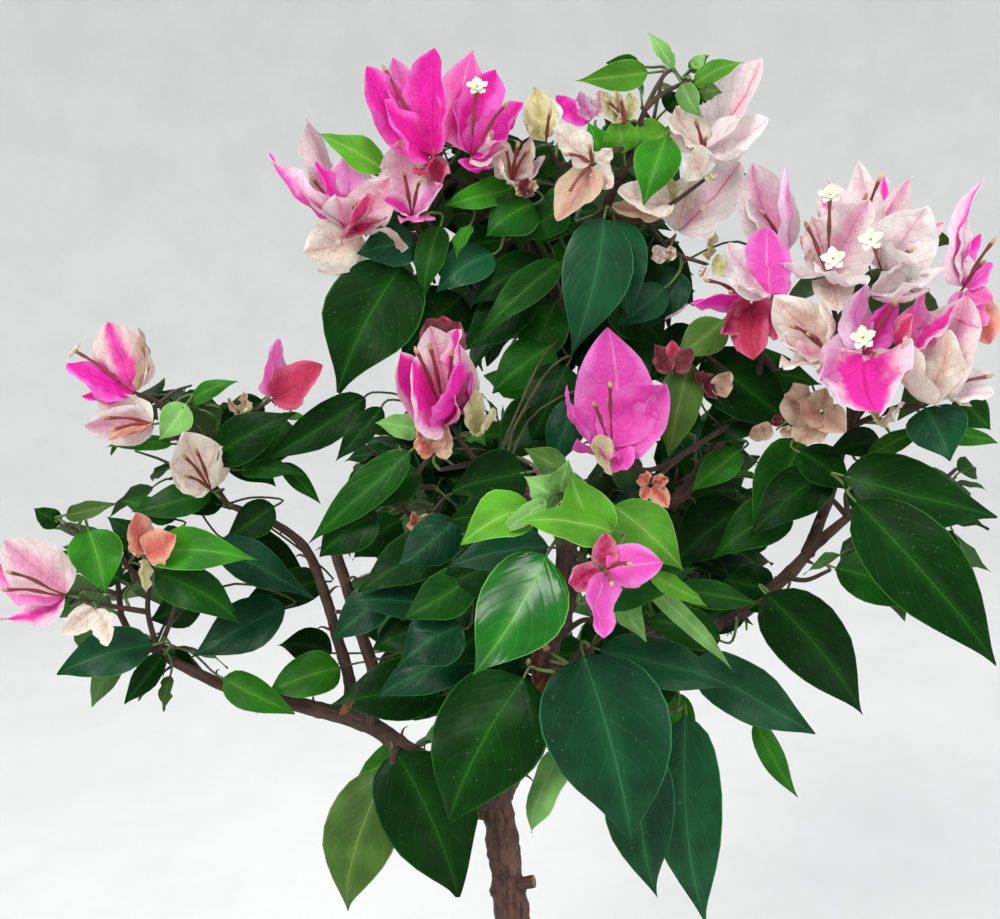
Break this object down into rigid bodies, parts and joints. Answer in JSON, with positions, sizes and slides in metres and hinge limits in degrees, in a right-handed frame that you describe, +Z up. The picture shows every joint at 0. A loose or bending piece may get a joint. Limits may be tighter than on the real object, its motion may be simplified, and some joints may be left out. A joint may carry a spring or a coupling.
{
  "type": "bougainvillea bush",
  "caption": "Small flowering bougainvillea in a round clay pot: a leaning trunk, spreading boughs and leafy masses with pink, magenta and cream bracts.",
  "frame": {"origin": "centre of the pot's flat underside", "axes": "+Z is up; -Y is the front, the side the picture shows; +X is to the right as seen from the front"},
  "size_m": [0.459, 0.2909, 0.6957],
  "materials": {
    "clay": "matte",
    "soil": "matte",
    "bark": "matte",
    "foliage": "satin"
  },
  "bodies": {
    "root": {"pot": "clay", "soil": "soil", "trunk": "bark", "bough_back_high": "bark", "bough_back_left": "bark", "bough_back_right": "bark", "bough_inner": "bark", "bough_left": "bark", "bough_left_inner": "bark", "bough_left_low": "bark", "bough_left_outer": "bark", "bough_low_front": "bark", "bough_middle": "bark", "bough_right_hang": "bark", "bough_right_high": "bark", "bough_right_low": "bark", "bough_right_rise": "bark", "bough_top_left": "bark", "bough_top_mid": "bark", "leader_front": "bark", "leader_middle": "bark", "leader_top": "bark", "left_low": "foliage", "left_high": "foliage", "left_inner": "foliage", "left_hang": "foliage", "top_left": "foliage", "top_mid": "foliage", "top_right": "foliage", "front_high": "foliage", "inner": "foliage", "front_mid": "foliage", "front_low": "foliage", "right_head": "foliage", "right_crown": "foliage", "right_low": "foliage", "right_hang": "foliage", "back_left": "foliage", "back_right": "foliage", "back_top": "foliage"}
  },
  "joints": []
}
